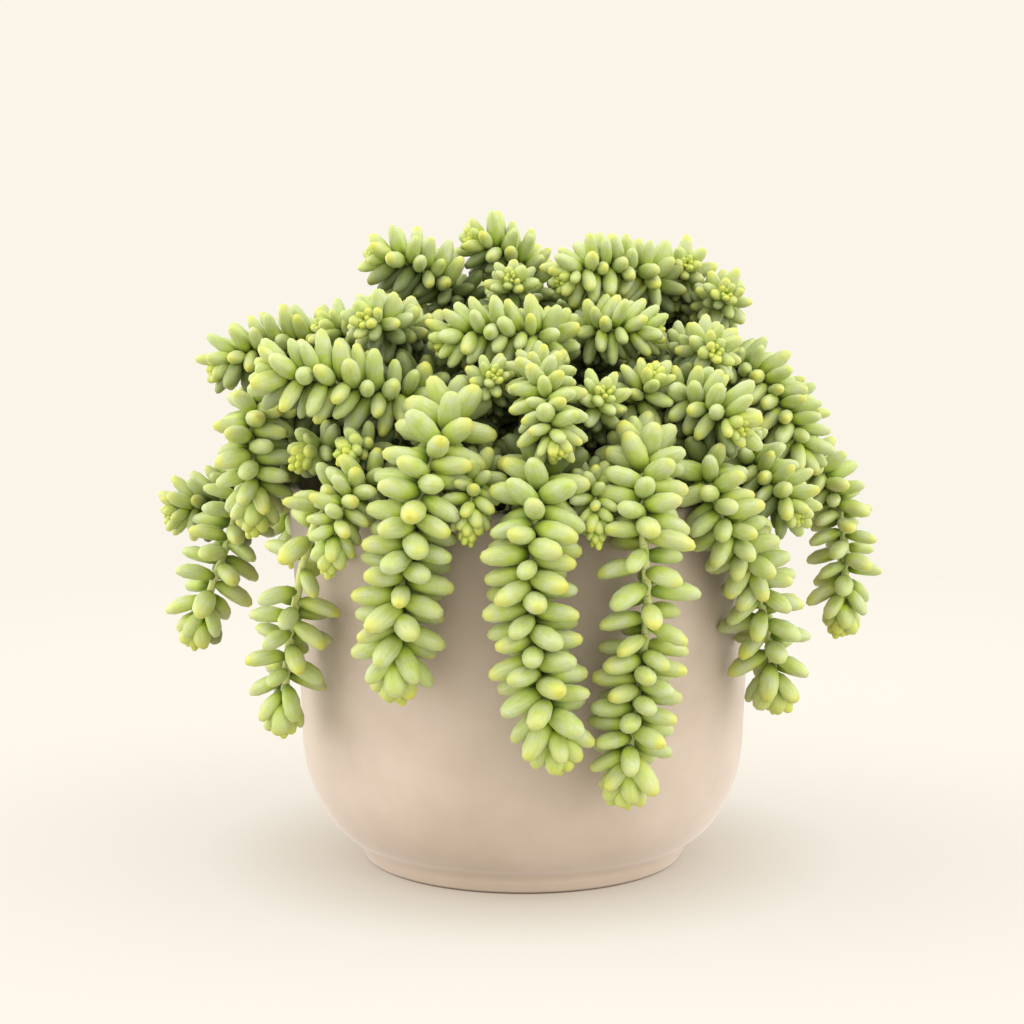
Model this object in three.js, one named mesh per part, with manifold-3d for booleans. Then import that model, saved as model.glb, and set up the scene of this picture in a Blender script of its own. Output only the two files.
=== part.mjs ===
// A potted burro's tail plant (Sedum morganianum): a round clay pot filled with soil, and the
// plant's leafy stems, which stand in holes in the soil, arch over the rim and hang.
// Millimetres, +Z up, -Y is the front. The origin is the middle of the pot's underside.
import * as THREE from 'three';
import { mergeVertices } from 'three/addons/utils/BufferGeometryUtils.js';
import Module from 'manifold-3d';

const wasm = await Module();
wasm.setup();

// ---------------------------------------------------------------- driving sizes
const POT_HEIGHT = 128;
const RIM_RADIUS = 79.2;          // the outside, at the rim
const WAIST_RADIUS = 76.4;        // the outside, part of the way up the flared wall
const WAIST_HEIGHT = 90;
const BELLY_RADIUS = 74.6;        // the outside, where the lower curve begins
const BELLY_HEIGHT = 42;
const CREASE_RADIUS = 54.6;       // where the lower curve meets the foot
const CREASE_HEIGHT = 7;
const FOOT_RADIUS = 54;
const LOWER_CURVE = 1.1;          // 1 is a quarter of an ellipse
const WALL = 4.6;
const FLOOR = 9;
const SOIL_HEIGHT = 118;
const POT_SIDES = 40;

const GAP = 0.3;                  // between two pieces that touch
const LEAF_GAP = 0.45;            // left between the leaves of two stems
const STEM_RADIUS = 1.6;          // a stem where it has no leaves
const FOOT_Z = SOIL_HEIGHT - 13;  // the cut end of every stem, in its hole in the soil
const SAMPLE = 2;                 // step along a stem's route
const EASING = 6;                 // passes that round a route's bends
const BEND_ROOM = 0.7;            // how far leaves reach into a bend, as a share of its radius

const LEAVES_ROUND = 5;           // leaves in each ring round a stem
const RING_STEP = 10.4;           // from one ring of leaves to the next, on average
const CROWDING = 0.88;            // below 1, the rings crowd to the growing tip
const CORE = 0.42;                // the stem between its leaves, as a share of the leaf tips' radius
const SWEEP = 0.42;               // how far a leaf leans to the growing tip, for its length
const SHOULDER = 0.7;             // where a leaf is widest, as a share of its length
const LEAF_WIDTH = 0.72;          // of the space that a leaf has round the stem
const SHOULDER_LEAN = 0.1;        // the most that a shoulder leans, as a share of the ring's step
const TIP_LEAN = 0.75;            // and the most that a tip does
const SHORTEST = 0.2;             // the shortest leaf that is tried, as a share of the longest
const TRY_STEP = 0.1;             // how much shorter each leaf is that is tried
const ROUNDS = 12;                // of shortening leaves that cross in a bend
const SHORTENING = 0.85;          // of such a leaf in each round
const FIRST_LEAVES = 0.7;         // how far the lowest leaves reach, as a share of the others
const ROUNDED = 1.3;              // the length of the rounded growing tip, in leaf tips' radii
const TIP_DROP = 0.8;             // how much of the radius its rounding takes off, squared
const LEANING = 1.5;              // the length where leaves lean more and more, in the same radii
const TIP_SWEEP = 1.1;            // how far a leaf leans at the growing tip, for its length
const CROWN_POINT = 0.35;         // how far the last leaves close beyond the tip, in radii
const END_ROOM = 0.4;             // between the last ring and the tip, as a share of a ring's step
const FOOT_RING = 15;             // from the cut end to the next ring of points
const BARE_STEP = 12;             // between the rings of points where there are no leaves

// ---------------------------------------------------------------- materials
function material(name, colour, roughness) {
  const made = new THREE.MeshStandardMaterial({ color: colour, roughness, metalness: 0 });
  made.name = name;
  return made;
}
const CLAY = material('clay', 0xd2bfa8, 0.8);
const SOIL = material('soil', 0x4a3a2c, 0.95);
const LEAF = material('leaf', 0xb1bd72, 0.6);

// ---------------------------------------------------------------- the stems
// Each stem's route from its foot in the soil to its growing tip: the foot's x and y, then points.
// radius is from the stem's middle to its longest leaf tips, and bare is its leafless length.
const STEMS = [
  // hanging over the rim, from the left round the front to the right
  { name: 'hanging_left', radius: 13, bare: 38, foot: [-50, -14],
    route: [[-66, -20, 152], [-85, -28, 157], [-88, -34, 149], [-87, -36, 138], [-86, -36, 126],
      [-87, -36, 119]] },
  { name: 'hanging_far_left', radius: 13, bare: 34, foot: [-60, -2],
    route: [[-74, -4, 143], [-92, -12, 127], [-97, -16, 112], [-101, -18, 101], [-105, -18, 90],
      [-109, -16, 78]] },
  { name: 'hanging_side_left', radius: 13, bare: 56, foot: [-42, -30],
    route: [[-52, -42, 138], [-59, -58, 133], [-64, -66, 126], [-69, -60, 112], [-72, -54, 99],
      [-75, -50, 83], [-77, -47, 66], [-78, -46, 55]] },
  { name: 'hanging_short_left', radius: 11, bare: 32, foot: [-36, -52],
    route: [[-44, -62, 138], [-55, -76, 132], [-58, -80, 123], [-60, -79, 112]] },
  { name: 'hanging_front_left', radius: 15, bare: 50, foot: [-24, -34],
    route: [[-24, -50, 154], [-23, -70, 154], [-29, -82, 144], [-32, -86, 133], [-36, -85, 115],
      [-38, -84, 99], [-39, -83, 86], [-40, -82, 75]] },
  { name: 'hanging_front', radius: 15, bare: 36, foot: [3, -38],
    route: [[5, -56, 142], [6, -76, 140], [4, -89, 132], [2, -93, 120], [2, -93, 104],
      [3, -93, 88], [7, -93, 71], [11, -92, 55]] },
  { name: 'hanging_front_right', radius: 14, bare: 50, foot: [30, -34],
    route: [[34, -48, 144], [37, -66, 144], [37, -79, 138], [36, -86, 129], [37, -87, 114],
      [38, -85, 100], [36, -84, 80], [34, -85, 65], [32, -84, 49], [31, -83, 41]] },
  { name: 'hanging_right', radius: 13, bare: 50, foot: [48, -26],
    route: [[54, -38, 142], [58, -56, 140], [60, -66, 130], [66, -62, 118], [74, -53, 104],
      [77, -46, 91], [80, -42, 78], [83, -39, 61]] },
  { name: 'hanging_far_right', radius: 12, bare: 36, foot: [60, -2],
    route: [[76, 2, 144], [93, 2, 137], [103, 0, 126], [107, 0, 116], [109, -1, 100],
      [107, -3, 79]] },
  // low in the crown, over the rim between the longer stems
  { name: 'low_front_left', radius: 10, bare: 36, foot: [-40, -40],
    route: [[-46, -50, 142], [-51, -62, 147], [-56, -70, 145]] },
  { name: 'low_left', radius: 11, bare: 28, foot: [-52, -30],
    route: [[-58, -35, 138], [-66, -44, 144], [-71, -51, 141]] },
  { name: 'low_front', radius: 10, bare: 24, foot: [-12, -50],
    route: [[-13, -62, 137], [-15, -76, 139], [-16, -86, 132], [-17, -89, 123]] },
  { name: 'low_front_right', radius: 9, bare: 24, foot: [18, -50],
    route: [[20, -62, 134], [21, -75, 137], [22, -86, 131], [22, -89, 122]] },
  // arms that lie on the crown
  { name: 'arm_front_left', radius: 15, bare: 48, foot: [-16, -18],
    route: [[-26, -26, 160], [-37, -46, 161], [-47, -54, 163], [-59, -58, 167], [-80, -60, 170]] },
  { name: 'arm_back_left', radius: 13, bare: 34, foot: [-40, 12],
    route: [[-50, 12, 166], [-65, 8, 174], [-78, 5, 173], [-91, 0, 171], [-102, -4, 166]] },
  { name: 'arm_low_left', radius: 13, bare: 28, foot: [-60, 14],
    route: [[-76, 8, 138], [-94, 6, 124], [-106, 3, 120], [-118, -2, 117]] },
  { name: 'arm_front', radius: 12, bare: 44, foot: [0, -20],
    route: [[4, -36, 160], [5, -58, 168], [7, -74, 163], [8, -82, 156], [10, -88, 149]] },
  { name: 'arm_right', radius: 14, bare: 48, foot: [34, -12],
    route: [[42, -24, 160], [53, -44, 159], [60, -54, 157], [67, -63, 153]] },
  { name: 'arm_low_right', radius: 13, bare: 46, foot: [54, -12],
    route: [[66, -22, 144], [76, -38, 136], [82, -46, 130], [87, -52, 124]] },
  { name: 'arm_far_right', radius: 13, bare: 48, foot: [48, 8],
    route: [[60, 6, 164], [76, -2, 165], [84, -10, 156], [90, -14, 145], [92, -14, 135]] },
  { name: 'arm_middle_left', radius: 13, bare: 58, foot: [8, -8],
    route: [[8, -22, 174], [6, -38, 179], [-4, -42, 181], [-17, -44, 181], [-26, -46, 178]] },
  { name: 'arm_side_left', radius: 12, bare: 44, foot: [-58, 28],
    route: [[-66, 27, 150], [-80, 25, 156], [-91, 25, 149], [-96, 25, 139]] },
  // growing tips that look out of the crown
  { name: 'rosette_front_left', radius: 10, bare: 44, foot: [-10, -34],
    route: [[-12, -44, 156], [-11, -58, 166], [-9, -67, 170]] },
  { name: 'rosette_front_right', radius: 11, bare: 36, foot: [16, -36],
    route: [[20, -48, 150], [23, -62, 160], [25, -70, 165]] },
  { name: 'rosette_left', radius: 12, bare: 54, foot: [-26, -8],
    route: [[-32, -16, 176], [-41, -32, 180], [-46, -42, 184], [-50, -50, 186]] },
  { name: 'rosette_right', radius: 12, bare: 50, foot: [44, -2],
    route: [[50, -10, 168], [56, -22, 172], [60, -34, 174], [61, -41, 175]] },
  { name: 'rosette_far_right', radius: 11, bare: 58, foot: [52, 24],
    route: [[61, 20, 178], [66, 8, 187], [67, -5, 191]] },
  { name: 'rosette_back_left', radius: 11, bare: 52, foot: [-40, -8],
    route: [[-46, -10, 164], [-56, -14, 177], [-66, -18, 182]] },
  // upright, at the top of the crown
  { name: 'upright_right', radius: 12, bare: 46, foot: [24, -22],
    route: [[30, -34, 154], [37, -46, 160], [41, -52, 169]] },
  { name: 'middle', radius: 11, bare: 40, foot: [-8, -12],
    route: [[-10, -16, 150], [-12, -24, 166], [-12, -29, 173]] },
  { name: 'middle_right', radius: 12, bare: 52, foot: [20, 2],
    route: [[24, -10, 174], [24, -26, 181], [33, -29, 181], [43, -28, 180]] },
  { name: 'top_left', radius: 13, bare: 62, foot: [-18, 14],
    route: [[-20, 12, 184], [-28, 6, 194], [-36, 2, 200], [-49, -2, 204]] },
  { name: 'top_middle', radius: 13, bare: 68, foot: [2, 24],
    route: [[2, 24, 186], [1, 18, 197], [-8, 14, 204], [-17, 10, 208]] },
  { name: 'top_small', radius: 10, bare: 62, foot: [-6, 4],
    route: [[-5, -2, 186], [-3, -12, 193], [-4, -20, 197]] },
  { name: 'top_right', radius: 13, bare: 66, foot: [32, 20],
    route: [[38, 18, 184], [44, 6, 195], [32, -3, 199], [20, -10, 199], [13, -16, 196]] },
  { name: 'top_far_right', radius: 12, bare: 60, foot: [46, 34],
    route: [[50, 30, 182], [54, 18, 196], [55, 10, 200]] },
  // behind, from the right round the back to the left
  { name: 'hanging_back_right', radius: 13, bare: 36, foot: [50, 30],
    route: [[59, 41, 147], [69, 48, 146], [76, 54, 131], [77, 54, 108], [76, 53, 84]] },
  { name: 'hanging_back_middle_right', radius: 14, bare: 36, foot: [22, 48],
    route: [[29, 62, 148], [36, 77, 145], [39, 85, 130], [39, 85, 106], [40, 84, 76], [41, 83, 60]] },
  { name: 'hanging_back', radius: 14, bare: 36, foot: [-3, 52],
    route: [[-3, 66, 149], [-3, 82, 146], [-3, 93, 131], [-2, 93, 104], [-3, 93, 82]] },
  { name: 'hanging_back_middle_left', radius: 14, bare: 36, foot: [-26, 46],
    route: [[-34, 59, 148], [-42, 73, 145], [-46, 81, 130], [-47, 81, 108], [-45, 80, 84], [-46, 80, 68]] },
  { name: 'hanging_back_left', radius: 12, bare: 36, foot: [-50, 30],
    route: [[-62, 36, 146], [-74, 43, 144], [-81, 47, 130], [-81, 47, 112], [-81, 46, 94]] },
  { name: 'arm_back_right', radius: 13, bare: 42, foot: [34, 40],
    route: [[42, 48, 164], [54, 62, 166], [62, 74, 158], [66, 80, 148]] },
  { name: 'arm_back', radius: 13, bare: 42, foot: [14, 38],
    route: [[16, 46, 164], [18, 60, 169], [20, 76, 163], [22, 87, 152]] },
  { name: 'arm_back_middle_left', radius: 13, bare: 44, foot: [-14, 36],
    route: [[-16, 44, 166], [-20, 60, 169], [-24, 78, 163], [-26, 88, 150]] },
  { name: 'arm_back_far_left', radius: 13, bare: 42, foot: [-34, 30],
    route: [[-44, 36, 164], [-56, 46, 167], [-70, 57, 160], [-76, 62, 150]] },
  { name: 'arm_side_right', radius: 12, bare: 34, foot: [60, 18],
    route: [[70, 24, 156], [83, 28, 158], [93, 31, 149], [97, 32, 139]] },
  { name: 'top_centre', radius: 12, bare: 46, foot: [14, 12],
    route: [[15, 14, 174], [17, 19, 186], [16, 26, 193]] },
  { name: 'top_back', radius: 12, bare: 48, foot: [-2, 34],
    route: [[-4, 38, 174], [-8, 48, 186], [-12, 60, 188]] },
  { name: 'top_back_right', radius: 12, bare: 54, foot: [26, 34],
    route: [[28, 36, 182], [31, 46, 192], [33, 58, 190]] },
  { name: 'top_back_left', radius: 12, bare: 54, foot: [-28, 26],
    route: [[-32, 28, 180], [-38, 36, 189], [-44, 48, 187]] },
];

// ---------------------------------------------------------------- small tools
function mix(a, b, share) {
  return a + (b - a) * share;
}

function clamp(value, low, high) {
  return Math.min(Math.max(value, low), high);
}

// a closed geometry as a manifold-3d solid
function toSolid(geometry) {
  const bare = geometry.clone();
  bare.deleteAttribute('normal');
  bare.deleteAttribute('uv');
  const merged = mergeVertices(bare, 1e-4);
  return new wasm.Manifold(new wasm.Mesh({
    numProp: 3,
    vertProperties: new Float32Array(merged.attributes.position.array),
    triVerts: new Uint32Array(merged.index.array),
  }));
}

// a manifold-3d solid as a geometry
function toGeometry(solid) {
  const mesh = solid.getMesh();
  const geometry = new THREE.BufferGeometry();
  geometry.setAttribute('position', new THREE.BufferAttribute(new Float32Array(mesh.vertProperties), 3));
  geometry.setIndex(new THREE.BufferAttribute(new Uint32Array(mesh.triVerts), 1));
  return geometry;
}

// a body turned about Z from [radius, height] points
function turned(outline, sides) {
  const points = outline.map(([radius, height]) => new THREE.Vector2(radius, height));
  const geometry = new THREE.LatheGeometry(points, sides);
  geometry.rotateX(Math.PI / 2);
  return geometry;
}

// ---------------------------------------------------------------- the pot and its soil
// the outside of the pot at a height: a lower curve that turns in to the foot, and a flared wall
function potRadius(z) {
  if (z >= WAIST_HEIGHT) {
    const up = (z - WAIST_HEIGHT) / (POT_HEIGHT - WAIST_HEIGHT);
    return mix(WAIST_RADIUS, RIM_RADIUS, up);
  }
  if (z >= BELLY_HEIGHT) {
    const up = (z - BELLY_HEIGHT) / (WAIST_HEIGHT - BELLY_HEIGHT);
    return mix(BELLY_RADIUS, WAIST_RADIUS, up);
  }
  if (z <= CREASE_HEIGHT) return CREASE_RADIUS;
  const drop = (BELLY_HEIGHT - z) / (BELLY_HEIGHT - CREASE_HEIGHT);
  const turn = Math.acos(Math.pow(drop, 1 / LOWER_CURVE));
  return mix(CREASE_RADIUS, BELLY_RADIUS, Math.pow(Math.sin(turn), LOWER_CURVE));
}

// heights for the lower curve, closer together where it turns fastest
function curveHeights(count, low, high) {
  const heights = [];
  for (let i = 0; i <= count; i += 1) {
    heights.push(mix(high, low, Math.cos((i / count) * Math.PI / 2)));
  }
  return heights;
}

function makePot() {
  const outside = [[0, 0], [FOOT_RADIUS - 1, 0], [FOOT_RADIUS, 1], [FOOT_RADIUS, CREASE_HEIGHT - 1]];
  for (const z of curveHeights(6, CREASE_HEIGHT, BELLY_HEIGHT)) outside.push([potRadius(z), z]);
  outside.push([WAIST_RADIUS, WAIST_HEIGHT], [RIM_RADIUS, POT_HEIGHT - 1.5]);
  outside.push([RIM_RADIUS - 1.3, POT_HEIGHT], [RIM_RADIUS - WALL + 1.3, POT_HEIGHT]);
  const inside = [[potRadius(WAIST_HEIGHT) - WALL, WAIST_HEIGHT]];
  for (const z of curveHeights(3, FLOOR, BELLY_HEIGHT).reverse()) inside.push([potRadius(z) - WALL, z]);
  inside.push([0, FLOOR]);
  return turned([...outside, [RIM_RADIUS - WALL, POT_HEIGHT - 1.5], ...inside], POT_SIDES);
}

// the soil fills the pot, with a plain hole for the foot of each stem
function makeSoil(stems) {
  const reach = WALL + GAP;
  const outline = [[0, FLOOR + GAP]];
  for (const z of curveHeights(3, FLOOR + GAP, BELLY_HEIGHT)) outline.push([potRadius(z) - reach, z]);
  outline.push([WAIST_RADIUS - reach, WAIST_HEIGHT], [potRadius(SOIL_HEIGHT) - reach, SOIL_HEIGHT]);
  outline.push([0, SOIL_HEIGHT]);
  let soil = toSolid(turned(outline, POT_SIDES));
  for (const stem of stems) {
    const top = SOIL_HEIGHT + 1;
    const bottom = FOOT_Z - GAP;
    const wide = STEM_RADIUS + GAP / Math.cos(Math.PI / LEAVES_ROUND);
    const hole = new THREE.CylinderGeometry(wide, wide, top - bottom, LEAVES_ROUND);
    hole.rotateX(Math.PI / 2);
    hole.translate(stem.foot[0], stem.foot[1], (top + bottom) / 2);
    soil = soil.subtract(toSolid(hole));
  }
  return toGeometry(soil);
}

// ---------------------------------------------------------------- a stem's route
// evenly spaced points along the route, each with its direction and a frame that never twists
function makeAxis(stem) {
  const [x, y] = stem.foot;
  const points = [[x, y, FOOT_Z], [x, y, SOIL_HEIGHT + 2], ...stem.route];
  const curve = new THREE.CatmullRomCurve3(points.map((p) => new THREE.Vector3(...p)));
  const count = Math.round(curve.getLength() / SAMPLE);
  const step = curve.getLength() / count;
  const straight = Math.ceil((SOIL_HEIGHT + 2 - FOOT_Z) / step);
  let places = curve.getSpacedPoints(count);
  for (let pass = 0; pass < EASING; pass += 1) {
    places = places.map((place, i) => {
      if (i <= straight || i === count) return place;
      return places[i - 1].clone().lerp(places[i + 1], 0.5).lerp(place, 0.5);
    });
  }
  let side = new THREE.Vector3(-1, 0, 0);
  const frames = places.map((place, i) => {
    const before = places[Math.max(i - 1, 0)];
    const after = places[Math.min(i + 1, count)];
    const along = after.clone().sub(before).normalize();
    side = side.clone().addScaledVector(along, -side.dot(along)).normalize();
    return { place, along, side, across: along.clone().cross(side) };
  });
  frames.forEach((frame, i) => {
    const before = frames[Math.max(i - 1, 0)].along;
    const after = frames[Math.min(i + 1, count)].along;
    frame.bend = after.clone().sub(before).divideScalar(2 * step);
  });
  return { frames, step, length: step * count };
}

// the most that a surface may stand out from the stem's middle without folding over in a bend
function bendLimit(axis, distance, angle) {
  const i = clamp(Math.round(distance / axis.step), 0, axis.frames.length - 1);
  const { bend, side, across } = axis.frames[i];
  const inward = bend.dot(side) * Math.cos(angle) + bend.dot(across) * Math.sin(angle);
  return inward > 0 ? BEND_ROOM / inward : Infinity;
}

// the point that lies a distance along the stem, at an angle round it and a radius from it
function onStem(axis, distance, angle, radius) {
  const last = axis.frames.length - 1;
  const at = clamp(distance / axis.step, 0, last);
  const i = Math.min(Math.floor(at), last - 1);
  const a = axis.frames[i];
  const b = axis.frames[i + 1];
  const share = at - i;
  const point = a.place.clone().lerp(b.place, share);
  const beyond = distance - at * axis.step;
  point.addScaledVector(a.along.clone().lerp(b.along, share).normalize(), beyond);
  const side = a.side.clone().lerp(b.side, share).normalize();
  const across = a.across.clone().lerp(b.across, share).normalize();
  point.addScaledVector(side, radius * Math.cos(angle));
  return point.addScaledVector(across, radius * Math.sin(angle));
}

// how far the leaf tips reach from the middle of the stem: full along it, rounded off at its tip
function reachAt(stem, axis, distance) {
  const fromStart = (distance - stem.bare) / stem.radius;
  const fromTip = clamp((axis.length - distance) / (stem.radius * ROUNDED), 0, 1);
  const start = mix(FIRST_LEAVES, 1, clamp(fromStart, 0, 1));
  return stem.radius * start * Math.sqrt(1 - TIP_DROP * (1 - fromTip) ** 2);
}

function coreAt(stem, axis, distance) {
  if (distance < stem.bare) return STEM_RADIUS;
  return Math.max(STEM_RADIUS, CORE * reachAt(stem, axis, distance));
}

// ---------------------------------------------------------------- room for a leaf
// clear of the pot, the soil and every other stem
function hasRoom(point, own, stems) {
  const out = Math.hypot(point.x, point.y);
  if (point.z < POT_HEIGHT + LEAF_GAP && out < potRadius(point.z) + LEAF_GAP) {
    const inside = out < potRadius(Math.min(point.z, POT_HEIGHT)) - WALL - LEAF_GAP;
    if (!inside || point.z < SOIL_HEIGHT + LEAF_GAP) return false;
  }
  let mine = Infinity;
  for (const frame of own.axis.frames) mine = Math.min(mine, frame.place.distanceTo(point));
  for (const other of stems) {
    if (other === own) continue;
    const { axis, box } = other;
    if (box.distanceToPoint(point) > own.radius + other.radius) continue;
    for (let i = 0; i < axis.frames.length; i += 1) {
      const away = axis.frames[i].place.distanceTo(point);
      const core = other.cores[i];
      if (away < core + LEAF_GAP) return false;
      if (core > STEM_RADIUS && away < mine + LEAF_GAP) return false;
    }
  }
  return true;
}

// ---------------------------------------------------------------- a leafy stem
// One closed surface: a leafless tube, then rings of leaves raised from the stem. The leaves of
// one ring stand over the gaps of the last. Each rises from the diamond of surface between four
// points low on the stem to a round-ended ridge, a shoulder on either side of a tip that leans
// to the growing end.
function makeStem(stem, stems) {
  const { axis } = stem;
  const points = [];
  const faces = [];
  const turn = (2 * Math.PI) / LEAVES_ROUND;
  const put = (point) => points.push(point) - 1;
  const wrap = (j) => (j + LEAVES_ROUND) % LEAVES_ROUND;
  const circle = (distance, radius, half) => {
    const ring = [];
    for (let j = 0; j < LEAVES_ROUND; j += 1) {
      const angle = (j + half) * turn;
      const limited = Math.min(radius, bendLimit(axis, distance, angle));
      ring.push(put(onStem(axis, distance, angle, limited)));
    }
    return ring;
  };

  // the foot and the leafless tube
  const bareRings = Math.max(2, Math.round((stem.bare - FOOT_RING) / BARE_STEP));
  const distances = [0, FOOT_RING];
  for (let i = 1; i < bareRings; i += 1) distances.push(mix(FOOT_RING, stem.bare, i / bareRings));
  let last = null;
  for (const distance of distances) {
    const ring = circle(distance, STEM_RADIUS, 0);
    if (last === null) {
      for (let j = 2; j < LEAVES_ROUND; j += 1) faces.push(ring[0], ring[j], ring[j - 1]);
    } else {
      for (let j = 0; j < LEAVES_ROUND; j += 1) {
        faces.push(last[j], last[wrap(j + 1)], ring[wrap(j + 1)], last[j], ring[wrap(j + 1)], ring[j]);
      }
    }
    last = ring;
  }

  // the points between the leaves, each ring a half turn on from the last
  const leafy = axis.length - stem.bare;
  const rings = Math.max(3, Math.round(leafy / RING_STEP));
  const ringDistance = (k) => stem.bare + leafy * (k / (rings + END_ROOM)) ** CROWDING;
  const valleys = [];
  for (let k = 0; k <= rings; k += 1) {
    const distance = ringDistance(k);
    valleys.push(circle(distance, coreAt(stem, axis, distance), (k % 2) / 2));
  }
  const crown = put(onStem(axis, axis.length + CROWN_POINT * stem.radius, 0, 0));
  for (let j = 0; j < LEAVES_ROUND; j += 1) {
    const next = wrap(j + 1);
    faces.push(last[j], last[next], valleys[0][next], last[j], valleys[0][next], valleys[0][j]);
    faces.push(valleys[0][j], valleys[0][next], valleys[1][j]);
  }

  // the leaves
  const leaves = [];
  for (let k = 1; k <= rings; k += 1) {
    for (let j = 0; j < LEAVES_ROUND; j += 1) {
      const odd = k % 2;
      const left = valleys[k][j];
      const right = valleys[k][wrap(j + 1)];
      const lower = valleys[k - 1][odd ? wrap(j + 1) : j];
      const upper = k < rings ? valleys[k + 1][odd ? wrap(j + 1) : j] : crown;
      const distance = ringDistance(k);
      const room = (k < rings ? ringDistance(k + 1) : axis.length) - distance;
      const leaf = { ring: k, distance, room, angle: (j + 0.5 + odd / 2) * turn, share: 1 };
      while (leaf.share > SHORTEST && !hasLeafRoom(stem, leaf, stems)) leaf.share -= TRY_STEP;
      const [leftShoulder, tip, rightShoulder] = leafPoints(stem, leaf).map(put);
      leaf.first = leftShoulder;
      leaf.faces = [
        [left, lower, leftShoulder], [leftShoulder, lower, tip],
        [tip, lower, rightShoulder], [rightShoulder, lower, right],
        [right, upper, rightShoulder], [rightShoulder, upper, tip],
        [tip, upper, leftShoulder], [leftShoulder, upper, left],
      ];
      leaves.push(leaf);
    }
  }
  drawInCrossed(stem, leaves, points);
  for (const leaf of leaves) faces.push(...leaf.faces.flat());
  const geometry = new THREE.BufferGeometry().setFromPoints(points);
  geometry.setIndex(faces);
  return geometry;
}

// the two shoulders of a leaf with its tip between them
function leafPoints(stem, leaf) {
  const { axis } = stem;
  const { distance, angle, room } = leaf;
  const core = Math.min(coreAt(stem, axis, distance), bendLimit(axis, distance, angle));
  const full = Math.max(core, Math.min(reachAt(stem, axis, distance), bendLimit(axis, distance, angle)));
  const nearTip = clamp(1 - (axis.length - distance) / (LEANING * stem.radius), 0, 1);
  const sweep = mix(SWEEP, TIP_SWEEP, nearTip);
  const wide = (LEAF_WIDTH * Math.PI) / LEAVES_ROUND;
  const reach = mix(core, full, leaf.share);
  const fat = mix(core, reach, SHOULDER);
  const middle = distance + Math.min(sweep * (fat - core), SHOULDER_LEAN * room);
  const end = distance + Math.min(sweep * (reach - core), TIP_LEAN * room);
  return [
    onStem(axis, middle, angle - wide, fat),
    onStem(axis, end, angle, reach),
    onStem(axis, middle, angle + wide, fat),
  ];
}

function hasLeafRoom(stem, leaf, stems) {
  const [left, tip, right] = leafPoints(stem, leaf);
  const between = [left.clone().lerp(tip, 0.5), right.clone().lerp(tip, 0.5)];
  return [left, tip, right, ...between].every((point) => hasRoom(point, stem, stems));
}

// ---------------------------------------------------------------- leaves of one stem in a bend
// whether an edge of one face, away from a corner that the two share, goes through another
function pierces(by, face, shared, points) {
  const ray = new THREE.Ray();
  const hit = new THREE.Vector3();
  for (let e = 0; e < 3; e += 1) {
    const from = by[e];
    const to = by[(e + 1) % 3];
    if (from === shared || to === shared) continue;
    const length = points[from].distanceTo(points[to]);
    ray.origin.copy(points[from]);
    ray.direction.subVectors(points[to], points[from]).divideScalar(length);
    const [a, b, c] = face.map((corner) => points[corner]);
    if (ray.intersectTriangle(a, b, c, false, hit) && hit.distanceTo(points[from]) < length) return true;
  }
  return false;
}

function leavesCross(one, other, points) {
  return one.faces.some((a) => other.faces.some((b) => {
    const shared = a.filter((corner) => b.includes(corner));
    if (shared.length > 1) return false;
    return pierces(a, b, shared[0], points) || pierces(b, a, shared[0], points);
  }));
}

// shortens leaves that pass through a neighbour, a little at a time, until none does
function drawInCrossed(stem, leaves, points) {
  for (let round = 0; round < ROUNDS; round += 1) {
    const boxes = leaves.map((leaf) => new THREE.Box3().setFromPoints(
      leaf.faces.flat().map((corner) => points[corner]),
    ));
    const crossed = new Set();
    leaves.forEach((one, i) => {
      leaves.slice(i + 1).forEach((other, m) => {
        if (other.ring - one.ring > 2 || !boxes[i].intersectsBox(boxes[i + 1 + m])) return;
        if (leavesCross(one, other, points)) crossed.add(one).add(other);
      });
    });
    if (crossed.size === 0) return;
    for (const leaf of crossed) {
      leaf.share *= SHORTENING;
      leafPoints(stem, leaf).forEach((point, corner) => points[leaf.first + corner].copy(point));
    }
  }
}

// ---------------------------------------------------------------- the whole plant
const group = new THREE.Group();
group.name = 'potted_burros_tail';

function add(name, geometry, look) {
  const mesh = new THREE.Mesh(geometry, look);
  mesh.name = name;
  group.add(mesh);
}

for (const stem of STEMS) {
  stem.axis = makeAxis(stem);
  stem.cores = stem.axis.frames.map((frame, i) => coreAt(stem, stem.axis, i * stem.axis.step));
  stem.box = new THREE.Box3().setFromPoints(stem.axis.frames.map((frame) => frame.place));
}
add('pot', makePot(), CLAY);
add('soil', makeSoil(STEMS), SOIL);
for (const stem of STEMS) add(`stem_${stem.name}`, makeStem(stem, STEMS), LEAF);

export default group;
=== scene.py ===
# A burro's tail plant in a round clay pot. Metres, +Z up, the pot's underside on the floor at z = 0,
# -Y the front. Sizes that are written in millimetres are multiplied by MM.
import math
import bpy
import numpy as np
from mathutils import Matrix
from mathutils.kdtree import KDTree


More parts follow.
